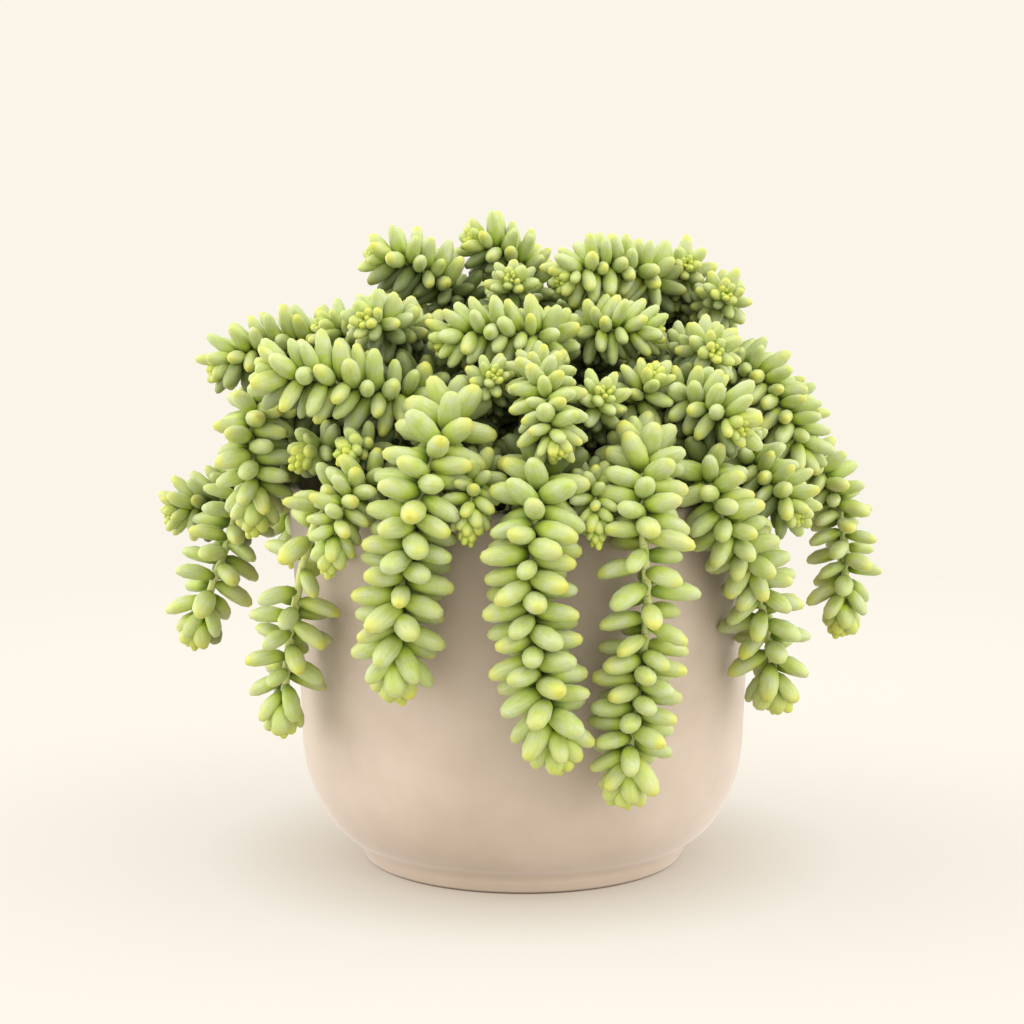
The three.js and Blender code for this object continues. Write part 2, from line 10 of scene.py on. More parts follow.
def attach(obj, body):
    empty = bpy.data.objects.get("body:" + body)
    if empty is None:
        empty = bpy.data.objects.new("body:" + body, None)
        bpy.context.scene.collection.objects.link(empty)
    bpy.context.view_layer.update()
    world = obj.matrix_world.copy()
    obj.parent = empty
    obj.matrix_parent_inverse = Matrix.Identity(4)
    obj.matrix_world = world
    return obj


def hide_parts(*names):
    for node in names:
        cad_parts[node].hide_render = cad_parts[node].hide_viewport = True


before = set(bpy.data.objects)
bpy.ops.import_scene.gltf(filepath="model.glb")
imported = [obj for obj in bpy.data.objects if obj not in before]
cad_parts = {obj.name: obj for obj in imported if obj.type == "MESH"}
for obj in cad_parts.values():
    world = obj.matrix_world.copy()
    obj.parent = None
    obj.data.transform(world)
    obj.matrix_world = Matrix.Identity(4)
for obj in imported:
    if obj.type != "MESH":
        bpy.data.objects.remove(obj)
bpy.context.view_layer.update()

MM = 0.001


def shown(name, data):
    """A new object with this data, in the scene."""
    obj = bpy.data.objects.new(name, data)
    bpy.context.scene.collection.objects.link(obj)
    return obj


# ---------------------------------------------------------------- the camera
# A long lens in front of the plant and a little above its top, looking down about eight degrees.
camera_data = bpy.data.cameras.new("camera")
camera_data.sensor_width = 36
camera_data.lens = 94.9
camera_data.clip_end = 50
camera = shown("camera", camera_data)
camera.location = (-3.7 * MM, -900 * MM, 250 * MM)
camera.rotation_euler = (math.radians(90 - 8.39), 0, 0)
bpy.context.scene.camera = camera


# ---------------------------------------------------------------- the pot
# A round pot of pale stoneware clay, left unglazed. Its wall flares gently to a rounded lip, and
# its lower curve turns in to a low foot ring, with a soft crease where the two meet. Sizes in mm.
POT_HEIGHT = 128
RIM_RADIUS = 79.2
WAIST_RADIUS = 76.4
WAIST_HEIGHT = 90
BELLY_RADIUS = 74.6
BELLY_HEIGHT = 42
CREASE_RADIUS = 54.6
CREASE_HEIGHT = 7
FOOT_RADIUS = 54
FOOT_RING = 8              # the foot stands on a ring this wide
FOOT_ROUND = 0.8           # its rounded edge, and how far the clay inside the ring is raised
BODY_LOW = 9.8             # where the lower curve starts, above the soft crease
LOWER_CURVE = 1.1
WALL = 4.6
FLOOR = 9
LIP = WALL / 2
POT_SIDES = 192
UNEVENNESS = 0.16


def srgb(red, green, blue):
    """An 8-bit screen colour as the linear colour that Blender's sockets take."""
    linear = []
    for value in (red, green, blue):
        share = value / 255
        linear.append(share / 12.92 if share <= 0.04045 else ((share + 0.055) / 1.055) ** 2.4)
    return (*linear, 1)


def mix(a, b, share):
    return a + (b - a) * share


def smooth(value):
    """0 below 0, 1 above 1, and an even slope between."""
    value = np.clip(value, 0, 1)
    return value * value * (3 - 2 * value)


def pot_radius(z):
    """The outside of the pot at a height, both in millimetres."""
    if z >= WAIST_HEIGHT:
        return mix(WAIST_RADIUS, RIM_RADIUS, (z - WAIST_HEIGHT) / (POT_HEIGHT - WAIST_HEIGHT))
    if z >= BELLY_HEIGHT:
        return mix(BELLY_RADIUS, WAIST_RADIUS, (z - BELLY_HEIGHT) / (WAIST_HEIGHT - BELLY_HEIGHT))
    if z <= CREASE_HEIGHT:
        return CREASE_RADIUS
    drop = (BELLY_HEIGHT - z) / (BELLY_HEIGHT - CREASE_HEIGHT)
    turn = math.acos(drop ** (1 / LOWER_CURVE))
    return mix(CREASE_RADIUS, BELLY_RADIUS, math.sin(turn) ** LOWER_CURVE)


def turned(name, outline, sides, wobble=None):
    """A body turned about Z from (radius, height) points in mm; wobble moves each point outwards."""
    points, faces, rings = [], [], []
    for radius, z in outline:
        if radius <= 0:
            rings.append([len(points)])
            points.append((0, 0, z * MM))
            continue
        rings.append(list(range(len(points), len(points) + sides)))
        for i in range(sides):
            angle = 2 * math.pi * i / sides
            out = (radius + (wobble(angle, z) if wobble else 0)) * MM
            points.append((out * math.cos(angle), out * math.sin(angle), z * MM))
    for low, high in zip(rings, rings[1:]):
        for i in range(sides):
            j = (i + 1) % sides
            if len(low) == 1:
                faces.append((low[0], high[j], high[i]))
            elif len(high) == 1:
                faces.append((low[i], low[j], high[0]))
            else:
                faces.append((low[i], low[j], high[j], high[i]))
    mesh = bpy.data.meshes.new(name)
    mesh.from_pydata(points, [], faces)
    mesh.shade_smooth()
    return shown(name, mesh)


def arc(middle_radius, middle_z, size, start, end, steps):
    """Points on a rounded edge, angles in degrees from straight out, turning upwards."""
    angles = [math.radians(mix(start, end, i / steps)) for i in range(steps + 1)]
    return [(middle_radius + size * math.cos(a), middle_z + size * math.sin(a)) for a in angles]


def wall_heights(low, high, steps):
    """Heights up the lower curve, closer where it turns fastest."""
    return [mix(high, low, math.cos(i / steps * math.pi / 2)) for i in range(steps + 1)]


pot_outline = [(0, FOOT_ROUND), (FOOT_RADIUS - FOOT_RING - 1, FOOT_ROUND), (FOOT_RADIUS - FOOT_RING, 0)]
pot_outline += arc(FOOT_RADIUS - 1.0, FOOT_ROUND, FOOT_ROUND, -90, -20, 4)
foot_top, hollow = (FOOT_RADIUS + 1.6, 3.6), (FOOT_RADIUS + 2.0, CREASE_HEIGHT)
body_low = (pot_radius(BODY_LOW), BODY_LOW)
for share in np.linspace(0, 1, 9):
    pot_outline.append(tuple(mix(mix(a, b, share), mix(b, c, share), share)
                             for a, b, c in zip(foot_top, hollow, body_low)))
pot_outline += [(pot_radius(z), z) for z in wall_heights(BODY_LOW, BELLY_HEIGHT, 24)[1:]]
pot_outline += [(pot_radius(z), z) for z in np.linspace(BELLY_HEIGHT + 6, POT_HEIGHT - LIP, 12)]
pot_outline += arc(RIM_RADIUS - LIP, POT_HEIGHT - LIP, LIP, 8, 172, 12)
pot_outline += [(pot_radius(z) - WALL, z) for z in np.linspace(POT_HEIGHT - LIP - 2, BELLY_HEIGHT, 10)]
pot_outline += [(pot_radius(z) - WALL, z) for z in wall_heights(FLOOR, BELLY_HEIGHT, 10)[-2::-1]]
pot_outline += [(0, FLOOR)]


def hand_thrown(angle, z):
    """The slight unevenness that hands leave in a thrown wall, in millimetres."""
    amount = UNEVENNESS * min(z / 30, 1)      # none at the foot, which stands flat
    return amount * (math.sin(angle * 2 + z * 0.02) + 0.5 * math.sin(angle * 5 - z * 0.045 + 1.3))


pot = turned("clay_pot", pot_outline, POT_SIDES, hand_thrown)


def set_sockets(node, values):
    for label, value in values.items():
        node.inputs[label].default_value = value


def new_material(name, values):
    """A new material, and its Principled BSDF with these values on its sockets."""
    material = bpy.data.materials.new(name)
    material.use_nodes = True
    shader = material.node_tree.nodes["Principled BSDF"]
    set_sockets(shader, values)
    return material, shader


def add(tree, kind, **values):
    """A node in the tree, with properties set by name and sockets set by their label."""
    node = tree.nodes.new(kind)
    for key, value in values.items():
        if hasattr(node, key):
            setattr(node, key, value)
        else:
            node.inputs[key.replace("_", " ").title()].default_value = value
    return node


def link(tree, output, target):
    tree.links.new(output, target)


def coordinates(tree):
    return add(tree, "ShaderNodeTexCoord").outputs["Object"]


def noise(tree, place, scale, detail=3.0, roughness=0.5):
    node = add(tree, "ShaderNodeTexNoise")
    set_sockets(node, {"Scale": scale, "Detail": detail, "Roughness": roughness})
    link(tree, place, node.inputs["Vector"])
    return node.outputs["Fac"]


def ramp(tree, value, *stops):
    """A colour ramp through (position, colour) stops."""
    node = tree.nodes.new("ShaderNodeValToRGB")
    elements = node.color_ramp.elements
    while len(elements) < len(stops):
        elements.new(0.5)
    for element, (position, colour) in zip(elements, stops):
        element.position = position
        element.color = colour
    link(tree, value, node.inputs["Fac"])
    return node.outputs["Color"]


def band(tree, value, low, high, to_low=0.0, to_high=1.0):
    """value taken from low..high to to_low..to_high, and held there."""
    node = tree.nodes.new("ShaderNodeMapRange")
    set_sockets(node, {"From Min": low, "From Max": high, "To Min": to_low, "To Max": to_high})
    link(tree, value, node.inputs["Value"])
    return node.outputs["Result"]


def blend(tree, share, first, second):
    """Two colours mixed; each may be a socket or a plain colour, and share a socket or a number."""
    node = tree.nodes.new("ShaderNodeMix")
    node.data_type = "RGBA"
    for socket, value in ((node.inputs[0], share), (node.inputs[6], first), (node.inputs[7], second)):
        if isinstance(value, bpy.types.NodeSocket):
            link(tree, value, socket)
        else:
            socket.default_value = value
    return node.outputs[2]


def maths(tree, kind, first, second=0.0):
    node = tree.nodes.new("ShaderNodeMath")
    node.operation = kind
    for socket, value in zip(node.inputs, (first, second)):
        if isinstance(value, bpy.types.NodeSocket):
            link(tree, value, socket)
        else:
            socket.default_value = value
    return node.outputs[0]


# The fine grain of every surface here: a mask of its grains, and the normals that they give, with
# any larger relief of the same surface laid under them.
fine_grain = bpy.data.node_groups.new("fine_grain", "ShaderNodeTree")
fine_grain.interface.new_socket("Place", in_out="INPUT", socket_type="NodeSocketVector")
for label in ("Scale", "Detail", "Roughness", "Relief", "Strength", "Depth"):
    fine_grain.interface.new_socket(label, in_out="INPUT", socket_type="NodeSocketFloat")
fine_grain.interface.new_socket("Grains", in_out="OUTPUT", socket_type="NodeSocketFloat")
fine_grain.interface.new_socket("Normal", in_out="OUTPUT", socket_type="NodeSocketVector")
given, made = fine_grain.nodes.new("NodeGroupInput"), fine_grain.nodes.new("NodeGroupOutput")
grains = fine_grain.nodes.new("ShaderNodeTexNoise")
raised = fine_grain.nodes.new("ShaderNodeBump")
for label, socket in (("Place", "Vector"), ("Scale", "Scale"), ("Detail", "Detail"),
                      ("Roughness", "Roughness")):
    link(fine_grain, given.outputs[label], grains.inputs[socket])
link(fine_grain, maths(fine_grain, "ADD", grains.outputs["Fac"], given.outputs["Relief"]),
     raised.inputs["Height"])
for label, socket in (("Strength", "Strength"), ("Depth", "Distance")):
    link(fine_grain, given.outputs[label], raised.inputs[socket])
link(fine_grain, grains.outputs["Fac"], made.inputs["Grains"])
link(fine_grain, raised.outputs["Normal"], made.inputs["Normal"])


def grained(tree, shader, relief=None, **values):
    """The fine grain placed in a material, giving the shader its normals; returns its mask."""
    node = add(tree, "ShaderNodeGroup", node_tree=fine_grain)
    link(tree, coordinates(tree), node.inputs["Place"])
    set_sockets(node, {key.title(): value for key, value in values.items()})
    if relief:
        link(tree, relief, node.inputs["Relief"])
    link(tree, node.outputs["Normal"], shader.inputs["Normal"])
    return node.outputs["Grains"]


clay, clay_shader = new_material("unglazed_clay", {
    "Specular IOR Level": 0.45, "Sheen Weight": 0.6, "Sheen Roughness": 0.4,
    "Sheen Tint": srgb(255, 250, 246)})
tree = clay.node_tree
place = coordinates(tree)
clouds = noise(tree, place, 24, 4, 0.55)
specks = noise(tree, place, 900, 2, 0.6)
height = tree.nodes.new("ShaderNodeSeparateXYZ")
link(tree, place, height.inputs[0])
body = ramp(tree, clouds, (0.32, srgb(180, 163, 146)), (0.5, srgb(188, 171, 155)),
            (0.7, srgb(197, 181, 166)))
foot = band(tree, height.outputs["Z"], 4.5 * MM, 10 * MM, 0.4, 0)
body = blend(tree, foot, body, srgb(206, 189, 172))
painted_contact_shadow = band(tree, height.outputs["Z"], 0.5 * MM, 1.1 * MM, 0.95, 0)   # painted shadow: the dark line where the foot meets the table
body = blend(tree, painted_contact_shadow, body, srgb(84, 66, 50))
grains = band(tree, specks, 0.64, 0.76, 0, 0.25)
body = blend(tree, grains, body, srgb(190, 170, 150))
link(tree, body, clay_shader.inputs["Base Color"])
link(tree, band(tree, clouds, 0.3, 0.7, 0.62, 0.75), clay_shader.inputs["Roughness"])
slip = maths(tree, "MULTIPLY", noise(tree, place, 160, 3, 0.5), 2.0)
grained(tree, clay_shader, slip, scale=1400, detail=3, roughness=0.7, strength=0.35, depth=0.12 * MM)
pot.data.materials.append(clay)
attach(pot, "root")
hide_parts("pot")


# ---------------------------------------------------------------- the soil
# Dark, crumbly potting soil that fills the pot to 10 mm under the lip. The stems stand in it, and
# loose crumbs lie on its top.
SOIL_HEIGHT = 118
SOIL_GAP = 0.3
SOIL_SIDES = 96
LUMPS = 0.5                # how far its top rises and falls, and how far each point strays
STRAY = 0.45
SUNK = 1.4                 # keeps the lumps under the soil's height
rng = np.random.default_rng(11)
soil_reach = WALL + SOIL_GAP
soil_outline = [(0, FLOOR + SOIL_GAP)]
soil_outline += [(pot_radius(z) - soil_reach, z) for z in wall_heights(FLOOR + SOIL_GAP, BELLY_HEIGHT, 8)]
soil_outline += [(pot_radius(z) - soil_reach, z) for z in (WAIST_HEIGHT, SOIL_HEIGHT - 2)]
soil_edge = pot_radius(SOIL_HEIGHT) - soil_reach
soil_outline += [(soil_edge * share, SOIL_HEIGHT) for share in np.linspace(1, 0, 30)]
soil = turned("potting_soil", soil_outline, SOIL_SIDES)
for vertex in soil.data.vertices:
    x, y, z = vertex.co
    if z > (SOIL_HEIGHT - 1) * MM:
        lumps = math.sin(x * 310 + 1) * math.sin(y * 270) + math.sin(x * 710) * math.sin(y * 650 + 2)
        vertex.co.z += (LUMPS * lumps - SUNK + rng.uniform(-STRAY, STRAY)) * MM

earth, earth_shader = new_material("potting_soil", {})
tree = earth.node_tree
place = coordinates(tree)
crumbs = grained(tree, earth_shader, scale=420, detail=5, roughness=0.65, strength=0.9, depth=0.9 * MM)
link(tree, ramp(tree, crumbs, (0.3, srgb(28, 20, 14)), (0.55, srgb(66, 48, 34)), (0.8, srgb(112, 90, 66))),
     earth_shader.inputs["Base Color"])
link(tree, band(tree, crumbs, 0.2, 0.8, 0.98, 0.85), earth_shader.inputs["Roughness"])
soil.data.materials.append(earth)


def node_tree(name, *inputs):
    """A Geometry Nodes tree with a geometry in and out, and further named inputs."""
    made = bpy.data.node_groups.new(name, "GeometryNodeTree")
    made.interface.new_socket("Geometry", in_out="INPUT", socket_type="NodeSocketGeometry")
    for label, kind in inputs:
        made.interface.new_socket(label, in_out="INPUT", socket_type=kind)
    made.interface.new_socket("Geometry", in_out="OUTPUT", socket_type="NodeSocketGeometry")
    return made, made.nodes.new("NodeGroupInput"), made.nodes.new("NodeGroupOutput")


def grow(obj, made, values):
    """obj's mesh becomes what the tree makes of it, as a plain mesh, with the tree's inputs by name."""
    modifier = obj.modifiers.new("grow", "NODES")
    modifier.node_group = made
    for item in made.interface.items_tree:
        if item.in_out == "INPUT" and item.name in values:
            modifier[item.identifier] = values[item.name]
    bpy.context.view_layer.update()
    grown = bpy.data.meshes.new_from_object(obj.evaluated_get(bpy.context.evaluated_depsgraph_get()))
    obj.modifiers.remove(modifier)
    old = obj.data
    obj.data = grown
    bpy.data.meshes.remove(old)
    used = np.zeros(len(grown.polygons), np.int32)
    grown.polygons.foreach_get("material_index", used)
    slots = [k for k, held in enumerate(grown.materials) if held]
    kept = [grown.materials[k] for k in slots]
    grown.materials.clear()
    for held in kept:
        grown.materials.append(held)
    grown.polygons.foreach_set("material_index", np.searchsorted(slots, used).astype(np.int32))


crumb_tree, given, result = node_tree(
    "loose_crumbs", ("Per square metre", "NodeSocketInt"), ("Smallest", "NodeSocketFloat"),
    ("Largest", "NodeSocketFloat"), ("Seed", "NodeSocketInt"), ("Soil", "NodeSocketMaterial"))
spread = add(crumb_tree, "GeometryNodeDistributePointsOnFaces")
top = add(crumb_tree, "FunctionNodeCompare", operation="GREATER_THAN")
top.inputs["B"].default_value = (SOIL_HEIGHT - 3) * MM
where = add(crumb_tree, "GeometryNodeInputPosition")
up = add(crumb_tree, "ShaderNodeSeparateXYZ")
link(crumb_tree, where.outputs[0], up.inputs[0])
link(crumb_tree, up.outputs["Z"], top.inputs["A"])
link(crumb_tree, top.outputs[0], spread.inputs["Selection"])
link(crumb_tree, given.outputs["Geometry"], spread.inputs["Mesh"])
link(crumb_tree, given.outputs["Per square metre"], spread.inputs["Density"])
link(crumb_tree, given.outputs["Seed"], spread.inputs["Seed"])
crumb = add(crumb_tree, "GeometryNodeMeshIcoSphere", radius=1, subdivisions=1)
size = add(crumb_tree, "FunctionNodeRandomValue", data_type="FLOAT")
link(crumb_tree, given.outputs["Smallest"], size.inputs[2])
link(crumb_tree, given.outputs["Largest"], size.inputs[3])
link(crumb_tree, given.outputs["Seed"], size.inputs["Seed"])
lay = add(crumb_tree, "GeometryNodeInstanceOnPoints")
link(crumb_tree, spread.outputs["Points"], lay.inputs["Points"])
link(crumb_tree, crumb.outputs["Mesh"], lay.inputs["Instance"])
link(crumb_tree, spread.outputs["Rotation"], lay.inputs["Rotation"])
link(crumb_tree, size.outputs[1], lay.inputs["Scale"])
together = add(crumb_tree, "GeometryNodeJoinGeometry")
link(crumb_tree, lay.outputs[0], together.inputs[0])
link(crumb_tree, given.outputs["Geometry"], together.inputs[0])
real = add(crumb_tree, "GeometryNodeRealizeInstances")
link(crumb_tree, together.outputs[0], real.inputs[0])
coat = add(crumb_tree, "GeometryNodeSetMaterial")
link(crumb_tree, real.outputs[0], coat.inputs["Geometry"])
link(crumb_tree, given.outputs["Soil"], coat.inputs["Material"])
link(crumb_tree, coat.outputs[0], result.inputs[0])
grow(soil, crumb_tree, {"Per square metre": 42000, "Smallest": 0.5 * MM, "Largest": 1.7 * MM,
                        "Seed": 5, "Soil": earth})
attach(soil, "root")
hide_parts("soil")


# ---------------------------------------------------------------- the leafy stems
# Fifty soft green stems grow from the soil, arch over the rim and hang, or lie on each other in a
# crown. Each carries plump, blunt leaves in a spiral, close together and smallest at its tip.
#
# name, reach of the leaf tips from the stem's middle, length without leaves, foot, route, all in mm
STEMS = [
    ("hanging_left", 13, 38, (-50, -14), [(-66, -20, 152), (-85, -28, 157), (-88, -34, 149),
        (-87, -36, 138), (-86, -36, 126), (-87, -36, 119)]),
    ("hanging_far_left", 13, 34, (-60, -2), [(-74, -4, 143), (-92, -12, 127), (-97, -16, 112),
        (-101, -18, 101), (-105, -18, 90), (-109, -16, 78)]),
    ("hanging_side_left", 13, 56, (-42, -30), [(-52, -42, 138), (-59, -58, 133), (-64, -66, 126),
        (-69, -60, 112), (-72, -54, 99), (-75, -50, 83), (-77, -47, 66), (-78, -46, 55)]),
    ("hanging_short_left", 11, 32, (-36, -52), [(-44, -62, 138), (-55, -76, 132), (-58, -80, 123),
        (-60, -79, 112)]),
    ("hanging_front_left", 15, 50, (-24, -34), [(-24, -50, 154), (-23, -70, 154), (-29, -82, 144),
        (-32, -86, 133), (-36, -85, 115), (-38, -84, 99), (-39, -83, 86), (-40, -82, 75)]),
    ("hanging_front", 15, 36, (3, -38), [(5, -56, 142), (6, -76, 140), (4, -89, 132), (2, -93, 120),
        (2, -93, 104), (3, -93, 88), (7, -93, 71), (11, -92, 55)]),
    ("hanging_front_right", 14, 50, (30, -34), [(34, -48, 144), (37, -66, 144), (37, -79, 138),
        (36, -86, 129), (37, -87, 114), (38, -85, 100), (36, -84, 80), (34, -85, 65), (32, -84, 49),
        (31, -83, 41)]),
    ("hanging_right", 13, 50, (48, -26), [(54, -38, 142), (58, -56, 140), (60, -66, 130), (66, -62, 118),
        (74, -53, 104), (77, -46, 91), (80, -42, 78), (83, -39, 61)]),
    ("hanging_far_right", 12, 36, (60, -2), [(76, 2, 144), (93, 2, 137), (103, 0, 126), (107, 0, 116),
        (109, -1, 100), (107, -3, 79)]),
    ("low_front_left", 10, 36, (-40, -40), [(-46, -50, 142), (-51, -62, 147), (-56, -70, 145)]),
    ("low_left", 11, 28, (-52, -30), [(-58, -35, 138), (-66, -44, 144), (-71, -51, 141)]),
    ("low_front", 10, 24, (-12, -50), [(-13, -62, 137), (-15, -76, 139), (-16, -86, 132),
        (-17, -89, 123)]),
    ("low_front_right", 9, 24, (18, -50), [(20, -62, 134), (21, -75, 137), (22, -86, 131),
        (22, -89, 122)]),
    ("arm_front_left", 15, 48, (-16, -18), [(-26, -26, 160), (-37, -46, 161), (-47, -54, 163),
        (-59, -58, 167), (-80, -60, 170)]),
    ("arm_back_left", 13, 34, (-40, 12), [(-50, 12, 166), (-65, 8, 174), (-78, 5, 173), (-91, 0, 171),
        (-102, -4, 166)]),
    ("arm_low_left", 13, 28, (-60, 14), [(-76, 8, 138), (-94, 6, 124), (-106, 3, 120), (-118, -2, 117)]),
    ("arm_front", 12, 44, (0, -20), [(4, -36, 160), (5, -58, 168), (7, -74, 163), (8, -82, 156),
        (10, -88, 149)]),
    ("arm_right", 14, 48, (34, -12), [(42, -24, 160), (53, -44, 159), (60, -54, 157), (67, -63, 153)]),
    ("arm_low_right", 13, 46, (54, -12), [(66, -22, 144), (76, -38, 136), (82, -46, 130), (87, -52, 124)]),
    ("arm_far_right", 13, 38, (48, 8), [(60, 6, 164), (76, -2, 165), (84, -10, 156), (90, -14, 145),
        (92, -14, 135)]),
    ("arm_middle_left", 13, 58, (8, -8), [(8, -22, 174), (6, -38, 179), (-4, -42, 181), (-17, -44, 181),
        (-26, -46, 178)]),
    ("arm_side_left", 12, 44, (-58, 28), [(-66, 27, 150), (-80, 25, 156), (-91, 25, 149), (-96, 25, 139)]),
    ("rosette_front_left", 10, 44, (-10, -34), [(-12, -44, 156), (-11, -58, 166), (-9, -67, 170)]),
    ("rosette_front_right", 11, 36, (16, -36), [(20, -48, 150), (23, -62, 160), (25, -70, 165)]),
    ("rosette_left", 12, 54, (-26, -8), [(-32, -16, 176), (-41, -32, 180), (-46, -42, 184),
        (-50, -50, 186)]),
    ("rosette_right", 12, 50, (44, -2), [(50, -10, 168), (56, -22, 172), (60, -34, 174), (61, -41, 175)]),
    ("rosette_far_right", 11, 58, (52, 24), [(61, 20, 178), (66, 8, 187), (67, -5, 191)]),
    ("rosette_back_left", 11, 52, (-40, -8), [(-46, -10, 164), (-56, -14, 177), (-66, -18, 182)]),
    ("upright_right", 12, 46, (24, -22), [(30, -34, 154), (37, -46, 160), (41, -52, 169)]),
    ("middle", 11, 40, (-8, -12), [(-10, -16, 150), (-12, -24, 166), (-12, -29, 173)]),
    ("middle_right", 12, 52, (20, 2), [(24, -10, 174), (24, -26, 181), (33, -29, 181), (43, -28, 180)]),
    ("top_left", 13, 54, (-18, 14), [(-20, 12, 184), (-28, 6, 194), (-36, 2, 200), (-49, -2, 204)]),
    ("top_middle", 13, 56, (2, 24), [(2, 24, 186), (1, 18, 197), (-8, 14, 204), (-17, 10, 208)]),
    ("top_small", 10, 54, (-6, 4), [(-5, -2, 186), (-3, -12, 193), (-4, -20, 197)]),
    ("top_right", 13, 66, (32, 20), [(38, 18, 184), (44, 6, 195), (32, -3, 199), (20, -10, 199),
        (13, -16, 196)]),
    ("top_far_right", 12, 60, (46, 34), [(50, 30, 182), (54, 18, 196), (55, 10, 200)]),
    ("hanging_back_right", 13, 24, (50, 30), [(59, 41, 147), (69, 48, 146), (76, 54, 131), (77, 54, 108),
        (76, 53, 84)]),
    ("hanging_back_middle_right", 14, 22, (22, 48), [(29, 62, 148), (36, 77, 145), (39, 85, 130),
        (39, 85, 106), (40, 84, 76), (41, 83, 60)]),
    ("hanging_back", 14, 22, (-3, 52), [(-3, 66, 149), (-3, 82, 146), (-3, 93, 131), (-2, 93, 104),
        (-3, 93, 82)]),
    ("hanging_back_middle_left", 14, 22, (-26, 46), [(-34, 59, 148), (-42, 73, 145), (-46, 81, 130),
        (-47, 81, 108), (-45, 80, 84), (-46, 80, 68)]),
    ("hanging_back_left", 12, 24, (-50, 30), [(-62, 36, 146), (-74, 43, 144), (-81, 47, 130),
        (-81, 47, 112), (-81, 46, 94)]),
    ("arm_back_right", 13, 30, (34, 40), [(42, 48, 164), (54, 62, 166), (62, 74, 158), (66, 80, 148)]),
    ("arm_back", 13, 28, (14, 38), [(16, 46, 164), (18, 60, 169), (20, 76, 163), (22, 87, 152)]),
    ("arm_back_middle_left", 13, 30, (-14, 36), [(-16, 44, 166), (-20, 60, 169), (-24, 78, 163),
        (-26, 88, 150)]),
    ("arm_back_far_left", 13, 30, (-34, 30), [(-44, 36, 164), (-56, 46, 167), (-70, 57, 160),
        (-76, 62, 150)]),
    ("arm_side_right", 12, 24, (60, 18), [(70, 24, 156), (83, 28, 158), (93, 31, 149), (97, 32, 139)]),
    ("top_centre", 12, 46, (14, 12), [(15, 14, 174), (17, 19, 186), (16, 26, 193)]),
    ("top_back", 12, 48, (-2, 34), [(-4, 38, 174), (-8, 48, 186), (-12, 60, 188)]),
    ("top_back_right", 12, 54, (26, 34), [(28, 36, 182), (31, 46, 192), (33, 58, 190)]),
    ("top_back_left", 12, 54, (-28, 26), [(-32, 28, 180), (-38, 36, 189), (-44, 48, 187)]),
]
# stretches where leaves are few and flat: name, from where along the stem, and their spacing, in mm
THINLY_LEAVED = {
    "hanging_side_left": [(56, 1.7), (74, 4.0), (104, 1.7)],
    "hanging_far_left": [(66, 1.7)],
    "hanging_front_right": [(94, 2.2), (130, 0)],
    "hanging_right": [(112, 1.6)],
    "hanging_far_right": [(84, 1.4)],
}
FOOT_Z = SOIL_HEIGHT - 13
ROUTE_STEP = 2.0
EASING = 6                 # passes that round a route's bends, as the solids have it
HANGING_SPACING = 1.14     # along a stem, where its leaves are closest
CROWN_SPACING = 0.82
CROWN_WIDTH = 0.83         # leaves of the crown are slimmer, for they stand closer
HANGING_TIP = (0.4, 0.7, 14.0)     # the youngest leaf's share of full size, the spacing there, and
CROWN_TIP = (0.24, 0.55, 8.0)      # how far from the tip the leaves are full grown
LEAF_SHARE = 0.97          # how much of a stem's reach its full-grown leaves fill
GOLDEN = math.radians(137.508)
BARE_RADIUS = 1.25         # of the stalk below its leaves, among them, and on a thinly leaved stem
LEAFY_RADIUS = 1.05
THIN_RADIUS = 1.4
TAPER = 12                 # the stalk thins over this length to its tip, down to TIP_SHARE
TIP_SHARE = 0.45
FLAT_SIZE = 1.06           # where leaves are few they grow a little longer
LOWEST_SIZE = 0.85         # and the lowest ones, within LOWEST of the bare length, stay shorter
LOWEST = 8
SPACED_REACH = 14          # the reach of the stem that the spacings are given for
SOLID_LEAN = 19            # degrees; the lean at which a stem's reach was measured
TIP_LEAN = 72              # degrees forwards from straight out, at the tip and of full-grown leaves
THIN_LEAN, HANGING_LEAN, CROWN_LEAN = -2, 5, 20
BASE_OUT = 0.7             # from the stem's middle to a leaf's base
YOUNG_AGE = 0.72           # below this a leaf has the young leaf's form


def catmull_rom(points):
    """Even samples of a centripetal Catmull-Rom curve through the points."""
    points = [np.array(p, float) for p in points]
    ends = [2 * points[0] - points[1], *points, 2 * points[-1] - points[-2]]
    dense = []
    for a, b, c, d in zip(ends, ends[1:], ends[2:], ends[3:]):
        t0, t1, t2 = (math.sqrt(np.linalg.norm(q - p)) for p, q in ((a, b), (b, c), (c, d)))
        start = ((b - a) / t0 - (c - a) / (t0 + t1) + (c - b) / t1) * t1
        end = ((c - b) / t1 - (d - b) / (t1 + t2) + (d - c) / t2) * t1
        for t in np.linspace(0, 1, 100, endpoint=False):
            dense.append(b + start * t + (-3 * b + 3 * c - 2 * start - end) * t ** 2
                         + (2 * b - 2 * c + start + end) * t ** 3)
    dense = np.array(dense + [points[-1]])
    gone = np.concatenate([[0], np.cumsum(np.linalg.norm(np.diff(dense, axis=0), axis=1))])
    count = round(gone[-1] / ROUTE_STEP)
    even = np.linspace(0, gone[-1], count + 1)
    return np.stack([np.interp(even, gone, dense[:, k]) for k in range(3)], axis=1), gone[-1]


def kd_tree(places):
    tree = KDTree(len(places))
    for i, place in enumerate(places):
        tree.insert(place, i)
    tree.balance()
    return tree


def unit(vectors):
    return vectors / np.maximum(np.linalg.norm(vectors, axis=-1, keepdims=True), 1e-9)


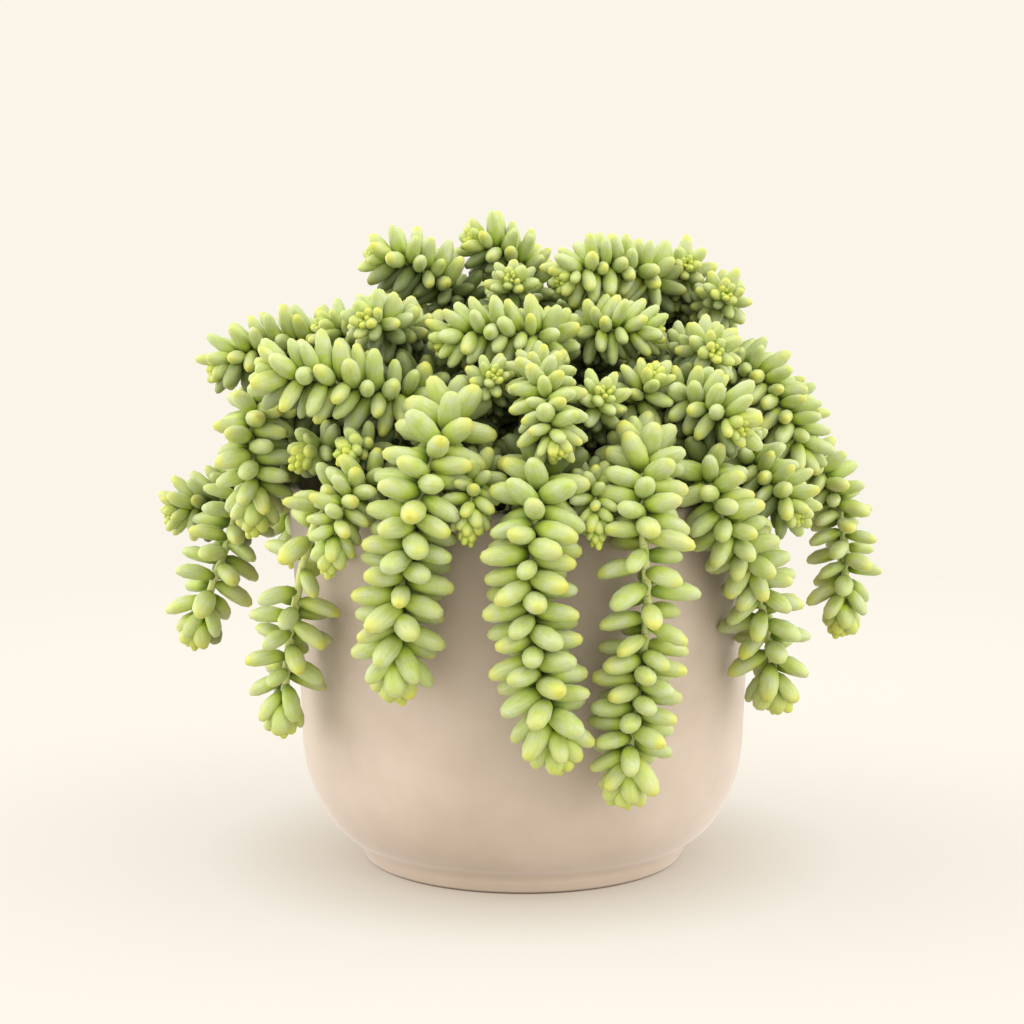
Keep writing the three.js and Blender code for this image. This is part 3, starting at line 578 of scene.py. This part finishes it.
class Route:
    """A stem's middle line, with a frame that is carried along it and never twists."""

    def __init__(self, foot, points):
        start = [(*foot, FOOT_Z), (*foot, SOIL_HEIGHT + 2)]
        self.places, self.length = catmull_rom(start + points)
        self.step = self.length / (len(self.places) - 1)
        straight = math.ceil((SOIL_HEIGHT + 2 - FOOT_Z) / self.step)
        for _ in range(EASING):
            eased = self.places.copy()
            eased[1:-1] = (self.places[:-2] + self.places[2:]) / 4 + self.places[1:-1] / 2
            eased[:straight + 1] = self.places[:straight + 1]
            self.places = eased
        ahead = np.vstack([self.places[1:], self.places[-1:]])
        behind = np.vstack([self.places[:1], self.places[:-1]])
        self.along = unit(ahead - behind)
        sides = [np.array((-1.0, 0, 0))]
        for along in self.along:
            side = sides[-1] - along * sides[-1].dot(along)
            sides.append(side / np.linalg.norm(side))
        self.side = np.array(sides[1:])
        self.across = np.cross(self.along, self.side)

    def at(self, distance):
        """The place, direction, side and across at a distance from the foot."""
        spot = min(max(distance / self.step, 0), len(self.places) - 1.001)
        i, share = int(spot), spot - int(spot)
        place, along, side, across = (
            mix(values[i], values[i + 1], share)
            for values in (self.places, self.along, self.side, self.across))
        return place, unit(along), unit(side), unit(across)


class Leaves:
    """Every leaf of the plant, one row each, while their places are worked out."""
    rows = []

    @classmethod
    def add(cls, **leaf):
        cls.rows.append(leaf)

    @classmethod
    def column(cls, name):
        return np.array([row[name] for row in cls.rows])


rng = np.random.default_rng(2024)
routes = {}
for number, (name, reach, bare, foot, points) in enumerate(STEMS):
    route = routes[name] = Route(foot, points)
    hangs = name.startswith(("hanging", "low"))
    youngest, tip_spacing, growing = HANGING_TIP if hangs else CROWN_TIP
    closest = (HANGING_SPACING if hangs else CROWN_SPACING) * reach / SPACED_REACH
    full = (reach - 0.6) / math.cos(math.radians(SOLID_LEAN)) * LEAF_SHARE
    angle = rng.uniform(0, 2 * math.pi)
    distance = route.length
    while distance > bare:
        from_tip = route.length - distance
        grown = float(smooth(from_tip / growing)) ** 0.75
        size = mix(youngest, 1, grown) * rng.normal(1, 0.06)
        spacing = closest
        for start, thinner in THINLY_LEAVED.get(name, []):
            if distance > start:
                spacing = thinner or closest
        is_thin = spacing > closest
        grown_lean = THIN_LEAN if is_thin else HANGING_LEAN if hangs else CROWN_LEAN
        lean = mix(TIP_LEAN, grown_lean, smooth(from_tip / (growing * 1.6)))
        lean += rng.normal(0, 6)
        if is_thin:
            size *= FLAT_SIZE
        if distance < bare + LOWEST:
            size *= LOWEST_SIZE
        place, along, side, across = route.at(distance)
        turn = angle + rng.normal(0, 0.09)
        out = side * math.cos(turn) + across * math.sin(turn)
        lean = math.radians(lean)
        aim = out * math.cos(lean) + along * math.sin(lean)
        Leaves.add(stem=number, base=place + out * BASE_OUT, aim=aim, along=along, size=full * size,
                   age=grown, thin=float(is_thin), roll=rng.normal(0, 0.22),
                   width=(1 if hangs else CROWN_WIDTH) * rng.normal(1, 0.04))
        angle += GOLDEN
        spacing = mix(tip_spacing, spacing, float(smooth(from_tip / growing / 1.4)))
        distance -= spacing * rng.uniform(0.85, 1.15)

owner = Leaves.column("stem")
base = Leaves.column("base")
wish = unit(Leaves.column("aim"))
along = Leaves.column("along")
length = Leaves.column("size")
age = Leaves.column("age")
thin = Leaves.column("thin")
roll = Leaves.column("roll")
leaf_width = Leaves.column("width")

# Leaves give way to each other, to other stems and to the pot: each is three balls on a line from
# its base, and turns about its base, round by round, until they press only slightly.
BALLS = ((0.34, 0.19), (0.62, 0.225), (0.87, 0.155))   # place and radius, as shares of the length
WALL_MIDDLE = WALL / 2


def push_from_pot(points, radii):
    """How far points with these radii must move to be clear of the pot's wall and the soil."""
    out = np.linalg.norm(points[:, :2], axis=1)
    z = points[:, 2]
    held = np.clip(z, 0, POT_HEIGHT - LIP)
    wall = np.array([pot_radius(h) for h in held]) - WALL_MIDDLE
    out_of_painted_shadow = np.stack([out - wall, z - held], axis=1)
    far = np.linalg.norm(out_of_painted_shadow, axis=1)
    short = np.maximum(WALL_MIDDLE + radii + 0.15 - far, 0)
    way = out_of_painted_shadow / np.maximum(far, 1e-6)[:, None]
    move = np.zeros_like(points)
    radial = points[:, :2] / np.maximum(out, 1e-6)[:, None]
    move[:, :2] = radial * (way[:, :1] * short[:, None])
    move[:, 2] = way[:, 1] * short
    inside = (out < wall) & (z < SOIL_HEIGHT + radii)
    move[inside, 2] += (SOIL_HEIGHT + radii - z)[inside]
    return move


def settle(aims, lengths, rounds):
    """Turns the leaves off each other, the other stems and the pot; returns the new aims."""
    wide = lengths * leaf_width
    stem_points = np.vstack([routes[s[0]].places for s in STEMS])
    stem_owner = np.concatenate([np.full(len(routes[s[0]].places), k) for k, s in enumerate(STEMS)])
    for turn in range(rounds):
        if turn % 4 == 0:
            middles = base + aims * (lengths * 0.6)[:, None]
            tree = kd_tree(middles)
            pairs = [(i, j) for i, middle in enumerate(middles)
                     for _, j, _ in tree.find_range(middle, lengths[i] * 0.55 + 8) if j > i]
            first, second = np.array(pairs).T
            stems = kd_tree(stem_points)
            pairs = [(i, j) for i, middle in enumerate(middles)
                     for _, j, _ in stems.find_range(middle, lengths[i] * 0.5 + 4)
                     if stem_owner[j] != owner[i]]
            leaf_near, stem_near = np.array(pairs).T
        swing = np.zeros_like(aims)
        for at_a, radius_a in BALLS:
            ball_a = base + aims * (lengths * at_a)[:, None]
            for at_b, radius_b in BALLS:
                ball_b = base + aims * (lengths * at_b)[:, None]
                between = ball_a[first] - ball_b[second]
                far = np.linalg.norm(between, axis=1)
                press = np.maximum(radius_a * wide[first] + radius_b * wide[second] - far, 0)
                move = between / np.maximum(far, 1e-6)[:, None] * (press * 0.5)[:, None]
                np.add.at(swing, first, move * at_a)
                np.add.at(swing, second, -move * at_b)
            between = ball_a[leaf_near] - stem_points[stem_near]
            far = np.linalg.norm(between, axis=1)
            press = np.maximum(radius_a * wide[leaf_near] + BARE_RADIUS - far, 0)
            move = between / np.maximum(far, 1e-6)[:, None] * press[:, None]
            np.add.at(swing, leaf_near, move * at_a * 0.5)
            swing += push_from_pot(ball_a, radius_a * wide) * at_a * 1.5
        aims = unit(aims + 0.42 * swing / lengths[:, None] + 0.06 * (wish - aims))
    return aims


def pressing(aims, lengths):
    """How deep the pot or the soil reaches into each leaf, in mm."""
    worst = np.zeros(len(aims))
    for at, radius in BALLS:
        ball = base + aims * (lengths * at)[:, None]
        worst = np.maximum(worst, np.linalg.norm(push_from_pot(ball, radius * lengths), axis=1))
    return worst


aim = settle(wish, length, 16)
for _ in range(3):
    deep = pressing(aim, length)
    length = np.where(deep > 0.3, length * np.clip(1 - deep / length, 0.7, 1), length)
    aim = settle(aim, length, 4)

# How many leaves stand between each leaf and the open air, as a share of what hides one fully; the leaves'
# colour is darkened by this share, as painted shade.
HEART = 110                # the height that leaves face away from
SEARCH = 26                # how far out the leaves in the way are looked for
FIRST_HIDING, FULLY_HIDING = 2, 14      # how many leaves start to hide one, and hide it
middles = base + aim * (length * 0.6)[:, None]
outwards = unit(middles * (1, 1, 0) + np.clip(middles - HEART, 0, None) * (0, 0, 1))
near = kd_tree(middles)
hidden = np.zeros(len(middles))
for i, middle in enumerate(middles):
    ahead = np.array([found for found, j, _ in near.find_range(middle, SEARCH) if j != i])
    if len(ahead):
        gap = ahead - middle
        out = gap @ outwards[i]
        beside = np.linalg.norm(gap - out[:, None] * outwards[i], axis=1)
        hidden[i] = np.sum((out > 3) & (beside < 2.5 + 0.5 * out))
hidden = smooth((hidden - FIRST_HIDING) / (FULLY_HIDING - FIRST_HIDING))


# One leaf, lying along X with its upper side to +Z, in a few rings. Its width and thickness are
# shares of its length; "along" runs from its base to its tip, and "round" once about it.
LEAF_SIDES = 12


def leaf_shape(name, width, thickness, rings, arch):
    """A leaf pattern of the given rings, (place along, share of full width), arched upwards."""
    points, faces, alongs, rounds = [(0, 0, 0)], [], [0.0], [0.0]
    for place, full in rings:
        for k in range(LEAF_SIDES):
            angle = 2 * math.pi * (k + 0.5) / LEAF_SIDES
            y = math.cos(angle) * width * full
            z = math.sin(angle) * thickness * full
            z *= 1.0 if z > 0 else 0.92
            points.append((place, y, z + arch * place * place))
            alongs.append(place)
            rounds.append(k / LEAF_SIDES)
    points.append((1.0, 0, arch))
    alongs.append(1.0)
    rounds.append(0.0)
    for k in range(LEAF_SIDES):
        j = (k + 1) % LEAF_SIDES
        faces.append((0, 1 + j, 1 + k))
        for ring in range(len(rings) - 1):
            low, high = 1 + ring * LEAF_SIDES, 1 + (ring + 1) * LEAF_SIDES
            faces.append((low + k, low + j, high + j, high + k))
        last = 1 + (len(rings) - 1) * LEAF_SIDES
        faces.append((last + k, last + j, len(points) - 1))
    mesh = bpy.data.meshes.new(name)
    mesh.from_pydata(points, [], faces)
    mesh.shade_smooth()
    mesh.attributes.new("along", "FLOAT", "POINT").data.foreach_set("value", alongs)
    mesh.attributes.new("round", "FLOAT", "POINT").data.foreach_set("value", rounds)
    return shown(name, mesh)


PLUMP_RINGS = ((0.02, 0.50), (0.20, 0.86), (0.48, 1.0), (0.77, 0.86), (0.94, 0.50))
FLAT_RINGS = ((0.02, 0.40), (0.20, 0.78), (0.48, 1.0), (0.76, 0.92), (0.94, 0.52))
YOUNG_RINGS = ((0.03, 0.56), (0.22, 0.88), (0.48, 1.0), (0.76, 0.86), (0.94, 0.50))
plump_leaf = leaf_shape("plump_leaf", 0.252, 0.225, PLUMP_RINGS, 0.04)
flat_leaf = leaf_shape("flat_leaf", 0.245, 0.2, FLAT_RINGS, 0.2)
young_leaf = leaf_shape("young_leaf", 0.33, 0.30, YOUNG_RINGS, 0.03)

leaf_skin, leaf_shader = new_material("waxy_leaf", {
    "Specular IOR Level": 0.5, "Sheen Weight": 0.12, "Sheen Roughness": 0.5,
    "Sheen Tint": srgb(246, 248, 232)})
tree = leaf_skin.node_tree
place = coordinates(tree)


def attribute(tree, name):
    return add(tree, "ShaderNodeAttribute", attribute_name=name).outputs["Fac"]


from_base = attribute(tree, "along")
about = attribute(tree, "round")
tint = attribute(tree, "tint")
ripeness = attribute(tree, "age")
# Each leaf is darker green towards its base, partly its own colour and partly painted shade where the
# leaves crowd the stalk.
fresh = ramp(tree, from_base, (0.0, srgb(108, 126, 16)), (0.3, srgb(168, 186, 50)),
             (0.7, srgb(192, 202, 82)), (0.95, srgb(198, 202, 74)))
ripe = ramp(tree, from_base, (0.0, srgb(62, 82, 4)), (0.14, srgb(114, 138, 16)), (0.34, srgb(175, 192, 52)),
            (0.6, srgb(176, 190, 82)), (0.85, srgb(180, 190, 100)), (0.97, srgb(186, 194, 88)))
flesh = blend(tree, ripeness, fresh, ripe)
flesh = blend(tree, band(tree, tint, 0.0, 0.45, 0.4, 0.0), flesh, srgb(160, 185, 84))
flesh = blend(tree, band(tree, tint, 0.6, 1.0, 0.0, 0.4), flesh, srgb(200, 203, 96))
patches = noise(tree, place, 260, 3, 0.6)
bloom = maths(tree, "MULTIPLY", band(tree, patches, 0.32, 0.68, 0.0, 0.75), ripeness)
bloom = maths(tree, "MULTIPLY", bloom, band(tree, from_base, 0.2, 0.5))
flesh = blend(tree, bloom, flesh, srgb(188, 194, 164))
lines = add(tree, "ShaderNodeCombineXYZ")
link(tree, maths(tree, "MULTIPLY", about, 26), lines.inputs["X"])
link(tree, maths(tree, "MULTIPLY", from_base, 2.2), lines.inputs["Y"])
link(tree, maths(tree, "MULTIPLY", tint, 31), lines.inputs["Z"])
streaks = noise(tree, lines.outputs[0], 1.0, 2, 0.6)
veins = maths(tree, "MULTIPLY", band(tree, streaks, 0.45, 0.68, 0.0, 0.45), band(tree, from_base, 0.0, 0.4))
flesh = blend(tree, veins, flesh, srgb(152, 174, 78))
blush = maths(tree, "MULTIPLY", band(tree, from_base, 0.76, 0.98, 0.0, 0.75), band(tree, tint, 0.35, 0.85))
flesh = blend(tree, blush, flesh, srgb(198, 199, 66))
point = maths(tree, "MULTIPLY", band(tree, from_base, 0.965, 1.0, 0.0, 0.6), band(tree, tint, 0.6, 0.8))
flesh = blend(tree, point, flesh, srgb(184, 158, 74))
# painted shade: leaves deep inside the plant are darkened towards a near-black green by how hidden they are
shaded = maths(tree, "MULTIPLY", attribute(tree, "hidden"), 0.8)
flesh = blend(tree, shaded, flesh, srgb(46, 66, 6))
link(tree, flesh, leaf_shader.inputs["Base Color"])
link(tree, band(tree, patches, 0.3, 0.7, 0.38, 0.55), leaf_shader.inputs["Roughness"])
grained(tree, leaf_shader, maths(tree, "MULTIPLY", streaks, 3.4), scale=1900, detail=2, roughness=0.5,
        strength=0.4, depth=0.05 * MM)

stem_skin, stem_shader = new_material("soft_stem", {"Roughness": 0.62})
tree = stem_skin.node_tree
place = coordinates(tree)
scars = grained(tree, stem_shader, scale=520, detail=2, roughness=0.5, strength=0.5, depth=0.3 * MM)
link(tree, ramp(tree, scars, (0.35, srgb(194, 204, 112)), (0.6, srgb(212, 218, 142)),
                (0.7, srgb(176, 160, 100)), (0.8, srgb(150, 126, 80))),
     stem_shader.inputs["Base Color"])

# The tree that grows a stem: its route, a chain of edges, becomes a round stalk, and each loose
# point becomes a leaf, turned and sized as the point says.
stem_tree, given, result = node_tree(
    "leafy_stem", ("Plump leaf", "NodeSocketObject"), ("Flat leaf", "NodeSocketObject"),
    ("Young leaf", "NodeSocketObject"), ("Stalk sides", "NodeSocketInt"),
    ("Leaf skin", "NodeSocketMaterial"), ("Stem skin", "NodeSocketMaterial"), ("Seed", "NodeSocketInt"))


def named(tree, name, kind):
    node = add(tree, "GeometryNodeInputNamedAttribute", data_type=kind)
    node.inputs["Name"].default_value = name
    return node.outputs["Attribute"]


def remember(tree, geometry, name, kind, domain, value):
    node = add(tree, "GeometryNodeStoreNamedAttribute", data_type=kind, domain=domain)
    node.inputs["Name"].default_value = name
    link(tree, geometry, node.inputs["Geometry"])
    if isinstance(value, bpy.types.NodeSocket):
        link(tree, value, node.inputs["Value"])
    else:
        node.inputs["Value"].default_value = value
    return node.outputs[0]


apart = add(stem_tree, "GeometryNodeSeparateGeometry", domain="POINT")
link(stem_tree, given.outputs["Geometry"], apart.inputs["Geometry"])
link(stem_tree, named(stem_tree, "is_leaf", "BOOLEAN"), apart.inputs["Selection"])
kinds = add(stem_tree, "GeometryNodeJoinGeometry")
for label in ("Young leaf", "Flat leaf", "Plump leaf"):      # the last one joined is kind 0
    shape = add(stem_tree, "GeometryNodeObjectInfo", as_instance=False)
    link(stem_tree, given.outputs[label], shape.inputs["Object"])
    held = add(stem_tree, "GeometryNodeGeometryToInstance")
    link(stem_tree, shape.outputs["Geometry"], held.inputs[0])
    link(stem_tree, held.outputs[0], kinds.inputs[0])
chance = add(stem_tree, "FunctionNodeRandomValue", data_type="FLOAT")
link(stem_tree, given.outputs["Seed"], chance.inputs["Seed"])
tinted = remember(stem_tree, apart.outputs["Selection"], "tint", "FLOAT", "POINT", chance.outputs[1])
turn = add(stem_tree, "FunctionNodeEulerToRotation")
link(stem_tree, named(stem_tree, "turn", "FLOAT_VECTOR"), turn.inputs[0])
leafing = add(stem_tree, "GeometryNodeInstanceOnPoints", pick_instance=True)
link(stem_tree, tinted, leafing.inputs["Points"])
link(stem_tree, kinds.outputs[0], leafing.inputs["Instance"])
link(stem_tree, named(stem_tree, "kind", "INT"), leafing.inputs["Instance Index"])
link(stem_tree, turn.outputs[0], leafing.inputs["Rotation"])
link(stem_tree, named(stem_tree, "size", "FLOAT_VECTOR"), leafing.inputs["Scale"])
stalk = add(stem_tree, "GeometryNodeMeshToCurve")
link(stem_tree, apart.outputs["Inverted"], stalk.inputs[0])
section = add(stem_tree, "GeometryNodeCurvePrimitiveCircle", radius=1)
link(stem_tree, given.outputs["Stalk sides"], section.inputs["Resolution"])
round_stalk = add(stem_tree, "GeometryNodeCurveToMesh", fill_caps=True)
link(stem_tree, stalk.outputs[0], round_stalk.inputs["Curve"])
link(stem_tree, named(stem_tree, "thick", "FLOAT"), round_stalk.inputs["Scale"])
link(stem_tree, section.outputs[0], round_stalk.inputs["Profile Curve"])
shaded = add(stem_tree, "GeometryNodeSetShadeSmooth")
link(stem_tree, round_stalk.outputs[0], shaded.inputs[0])
marked = remember(stem_tree, shaded.outputs[0], "stalk", "BOOLEAN", "FACE", True)
whole = add(stem_tree, "GeometryNodeJoinGeometry")
link(stem_tree, marked, whole.inputs[0])
link(stem_tree, leafing.outputs[0], whole.inputs[0])
real = add(stem_tree, "GeometryNodeRealizeInstances")
link(stem_tree, whole.outputs[0], real.inputs[0])
coats = real.outputs[0]
for label, chosen in (("Leaf skin", None), ("Stem skin", named(stem_tree, "stalk", "BOOLEAN"))):
    coat = add(stem_tree, "GeometryNodeSetMaterial")
    link(stem_tree, coats, coat.inputs["Geometry"])
    if chosen:
        link(stem_tree, chosen, coat.inputs["Selection"])
    link(stem_tree, given.outputs[label], coat.inputs["Material"])
    coats = coat.outputs[0]
link(stem_tree, coats, result.inputs[0])


def set_values(mesh, name, kind, on_stalk, on_leaves):
    """A point attribute, from its values on the stalk's points and then on the leaves' points."""
    number = {"INT": np.int32, "BOOLEAN": bool}.get(kind, float)
    values = np.concatenate([on_stalk, on_leaves]).astype(number)
    field = "vector" if kind == "FLOAT_VECTOR" else "value"
    mesh.attributes.new(name, kind, "POINT").data.foreach_set(field, values.ravel())


kinds_of_leaf = np.where(age < YOUNG_AGE, 2, np.where(thin > 0.5, 1, 0))
leaf_turns = []
for d, t, r in zip(aim, along, roll):
    up = t - d * t.dot(d)
    up = up / max(np.linalg.norm(up), 1e-6)
    sideways = np.cross(up, d)
    up, sideways = up * math.cos(r) + sideways * math.sin(r), sideways * math.cos(r) - up * math.sin(r)
    leaf_turns.append(Matrix(np.stack([d, sideways, up], axis=1).tolist()).to_euler())
leaf_turns = np.array(leaf_turns)

for number, (name, _, bare, _, _) in enumerate(STEMS):
    route = routes[name]
    mine = np.flatnonzero(owner == number)
    spots = np.vstack([route.places, base[mine]])
    edges = [(i, i + 1) for i in range(len(route.places) - 1)]
    mesh = bpy.data.meshes.new(f"leafy_{name}")
    mesh.from_pydata((spots * MM).tolist(), edges, [])
    stalk_points, leaf_points = len(route.places), len(mine)
    gone = np.arange(stalk_points) * route.step
    to_tip = np.clip((route.length - gone) / TAPER, 0, 1)
    leafy = THIN_RADIUS if name in THINLY_LEAVED else LEAFY_RADIUS
    width = np.where(gone < bare, BARE_RADIUS, leafy) * mix(TIP_SHARE, 1, to_tip)
    sizes = length[mine, None] * MM * np.stack([np.ones(leaf_points)] + [leaf_width[mine]] * 2, axis=1)
    none, no_vector = np.zeros(stalk_points), np.zeros((stalk_points, 3))
    set_values(mesh, "is_leaf", "BOOLEAN", none, np.ones(leaf_points))
    set_values(mesh, "thick", "FLOAT", width * MM, np.zeros(leaf_points))
    set_values(mesh, "kind", "INT", none, kinds_of_leaf[mine])
    set_values(mesh, "age", "FLOAT", none, age[mine])
    set_values(mesh, "hidden", "FLOAT", none, hidden[mine])
    set_values(mesh, "turn", "FLOAT_VECTOR", no_vector, leaf_turns[mine])
    set_values(mesh, "size", "FLOAT_VECTOR", no_vector, sizes)
    stem = shown(f"leafy_{name}", mesh)
    grow(stem, stem_tree, {
        "Plump leaf": plump_leaf, "Flat leaf": flat_leaf, "Young leaf": young_leaf, "Stalk sides": 8,
        "Leaf skin": leaf_skin, "Stem skin": stem_skin, "Seed": number})
    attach(stem, "root")
    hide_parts(f"stem_{name}")
for pattern in (plump_leaf, flat_leaf, young_leaf):
    bpy.data.objects.remove(pattern)


# ---------------------------------------------------------------- the studio
# A seamless cream table and wall, a broad soft light from above on the right, and light all round that is
# stronger from above and both sides. The table glows a little, and its glow is darkened close to the foot
# as a painted shadow of the pot.
CREAM = srgb(251, 245, 233)
floor_mesh = bpy.data.meshes.new("table_top")
floor_mesh.from_pydata([(-4, -4, 0), (4, -4, 0), (4, 4, 0), (-4, 4, 0)], [], [(0, 1, 2, 3)])
floor = shown("table_top", floor_mesh)
table, table_shader = new_material("cream_table", {
    "Base Color": (0.285, 0.27, 0.247, 1), "Roughness": 1.0, "Specular IOR Level": 0.0,
    "Emission Strength": 0.49})
tree = table.node_tree
spot = add(tree, "ShaderNodeVectorMath", operation="LENGTH")
link(tree, coordinates(tree), spot.inputs[0])
# painted shadow: the table's glow is a darker warm grey at the foot, fading to cream 11 cm from the pot's
# middle
out_of_painted_shadow = band(tree, spot.outputs["Value"], FOOT_RADIUS * MM, 0.11)
link(tree, blend(tree, out_of_painted_shadow, srgb(219, 203, 182), CREAM), table_shader.inputs["Emission Color"])
fade = band(tree, spot.outputs["Value"], 0.25, 0.6)
clear = add(tree, "ShaderNodeBsdfTransparent")
edge = add(tree, "ShaderNodeMixShader")
link(tree, fade, edge.inputs[0])
link(tree, table_shader.outputs[0], edge.inputs[1])
link(tree, clear.outputs[0], edge.inputs[2])
link(tree, edge.outputs[0], tree.nodes["Material Output"].inputs["Surface"])
floor.data.materials.append(table)

sun_data = bpy.data.lights.new("window", "SUN")
sun_data.energy = 0.9
sun_data.angle = math.radians(80)
sun_data.color = (1.0, 0.985, 0.965)
window = shown("window", sun_data)
window.rotation_euler = (math.radians(52), 0, math.radians(30))

world = bpy.data.worlds.new("studio")
world.use_nodes = True
bpy.context.scene.world = world
tree = world.node_tree
tree.nodes.clear()
ray = add(tree, "ShaderNodeLightPath")
look = add(tree, "ShaderNodeTexCoord")
axes = add(tree, "ShaderNodeSeparateXYZ")
link(tree, look.outputs["Generated"], axes.inputs[0])
above = band(tree, axes.outputs["Z"], -0.2, 0.9, 0.78, 2.0)
beside = maths(tree, "ADD", band(tree, axes.outputs["X"], 0.3, 1.0, 0.72, 1.9),
               band(tree, axes.outputs["X"], -1.0, -0.35, 1.7, 0))
around = add(tree, "ShaderNodeBackground")
around.inputs["Color"].default_value = (1.0, 0.985, 0.96, 1)
link(tree, maths(tree, "MULTIPLY", above, beside), around.inputs["Strength"])
behind = add(tree, "ShaderNodeBackground")
behind.inputs["Color"].default_value = CREAM
either = add(tree, "ShaderNodeMixShader")
link(tree, ray.outputs["Is Camera Ray"], either.inputs[0])
link(tree, around.outputs[0], either.inputs[1])
link(tree, behind.outputs[0], either.inputs[2])
out = add(tree, "ShaderNodeOutputWorld")
link(tree, either.outputs[0], out.inputs["Surface"])
bpy.context.scene.view_settings.view_transform = "Standard"
